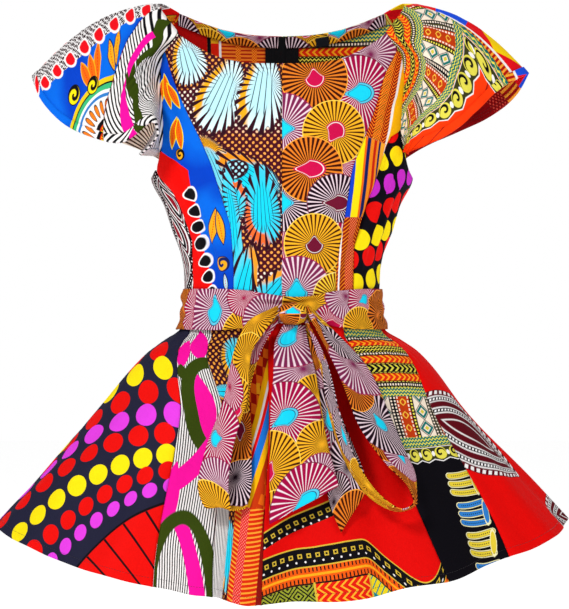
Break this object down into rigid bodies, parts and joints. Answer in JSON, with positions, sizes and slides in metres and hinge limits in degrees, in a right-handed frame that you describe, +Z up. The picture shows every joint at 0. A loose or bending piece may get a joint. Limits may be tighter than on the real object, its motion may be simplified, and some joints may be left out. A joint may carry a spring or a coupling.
{
  "type": "tie-waist peplum blouse",
  "caption": "Patchwork cotton blouse with a boat neck, flutter sleeves, a flared peplum and a belt tied in a front bow, filled out as when worn.",
  "frame": {"origin": "midway between the shoulders, at shoulder height, where the wearer carries the blouse", "axes": "+Z up along the body, +Y towards the back, +X towards the wearer's left"},
  "size_m": [0.6822, 0.4994, 0.6921],
  "materials": {
    "print_plumes": "crisp printed cotton, light blue plumes on dotted maroon",
    "print_fans": "crisp printed cotton, fans of fine lines in crimson, yellow and lilac",
    "print_tendrils": "crisp printed cotton, tendrils and ovals on bright blue and red",
    "print_kente": "crisp printed cotton, woven-strip stripes and chevrons in orange, red, yellow and blue",
    "print_paisley": "crisp printed cotton, white and black paisley on red and maroon",
    "print_dots": "crisp printed cotton, red, yellow and magenta discs on black",
    "print_bands": "crisp printed cotton, zigzag and lozenge bands in yellow, black, white, teal and orange",
    "print_stripes": "crisp printed cotton, fine black lines on white with magenta and olive bands",
    "print_arches": "crisp printed cotton, black dotted arch bands on red",
    "print_leaves": "crisp printed cotton, blue and yellow leaves on black",
    "label_black": "satin woven tape, bare",
    "zip_black": "woven zip tape",
    "slider_black": "satin black"
  },
  "bodies": {
    "root": {"front_centre_right": "print_plumes", "front_centre_left": "print_fans", "front_side_right": "print_tendrils", "front_side_left": "print_kente", "side_right": "print_paisley", "side_left": "print_dots", "back_centre_right": "print_kente", "back_centre_left": "print_bands", "back_side_right": "print_stripes", "back_side_left": "print_leaves", "sleeve_right_front": "print_stripes", "sleeve_right_back": "print_tendrils", "sleeve_left_front": "print_bands", "sleeve_left_back": "print_kente", "peplum_back_fans": "print_fans", "peplum_back_blue": "print_tendrils", "peplum_back_bars": "print_kente", "peplum_back_leaves": "print_leaves", "peplum_dots": "print_dots", "peplum_stripes": "print_stripes", "peplum_plumes": "print_plumes", "peplum_kente": "print_kente", "peplum_arches": "print_arches", "peplum_bands": "print_bands", "peplum_paisley": "print_paisley", "belt_band": "print_fans", "bow_knot": "print_fans", "bow_loop_right": "print_fans", "bow_loop_left": "print_fans", "bow_tail_front": "print_fans", "bow_tail_back": "print_fans", "neck_facing_right": "print_fans", "neck_facing_left": "print_fans", "neck_label": "label_black", "zip_tape": "zip_black", "zip_slider": "slider_black"}
  },
  "joints": []
}
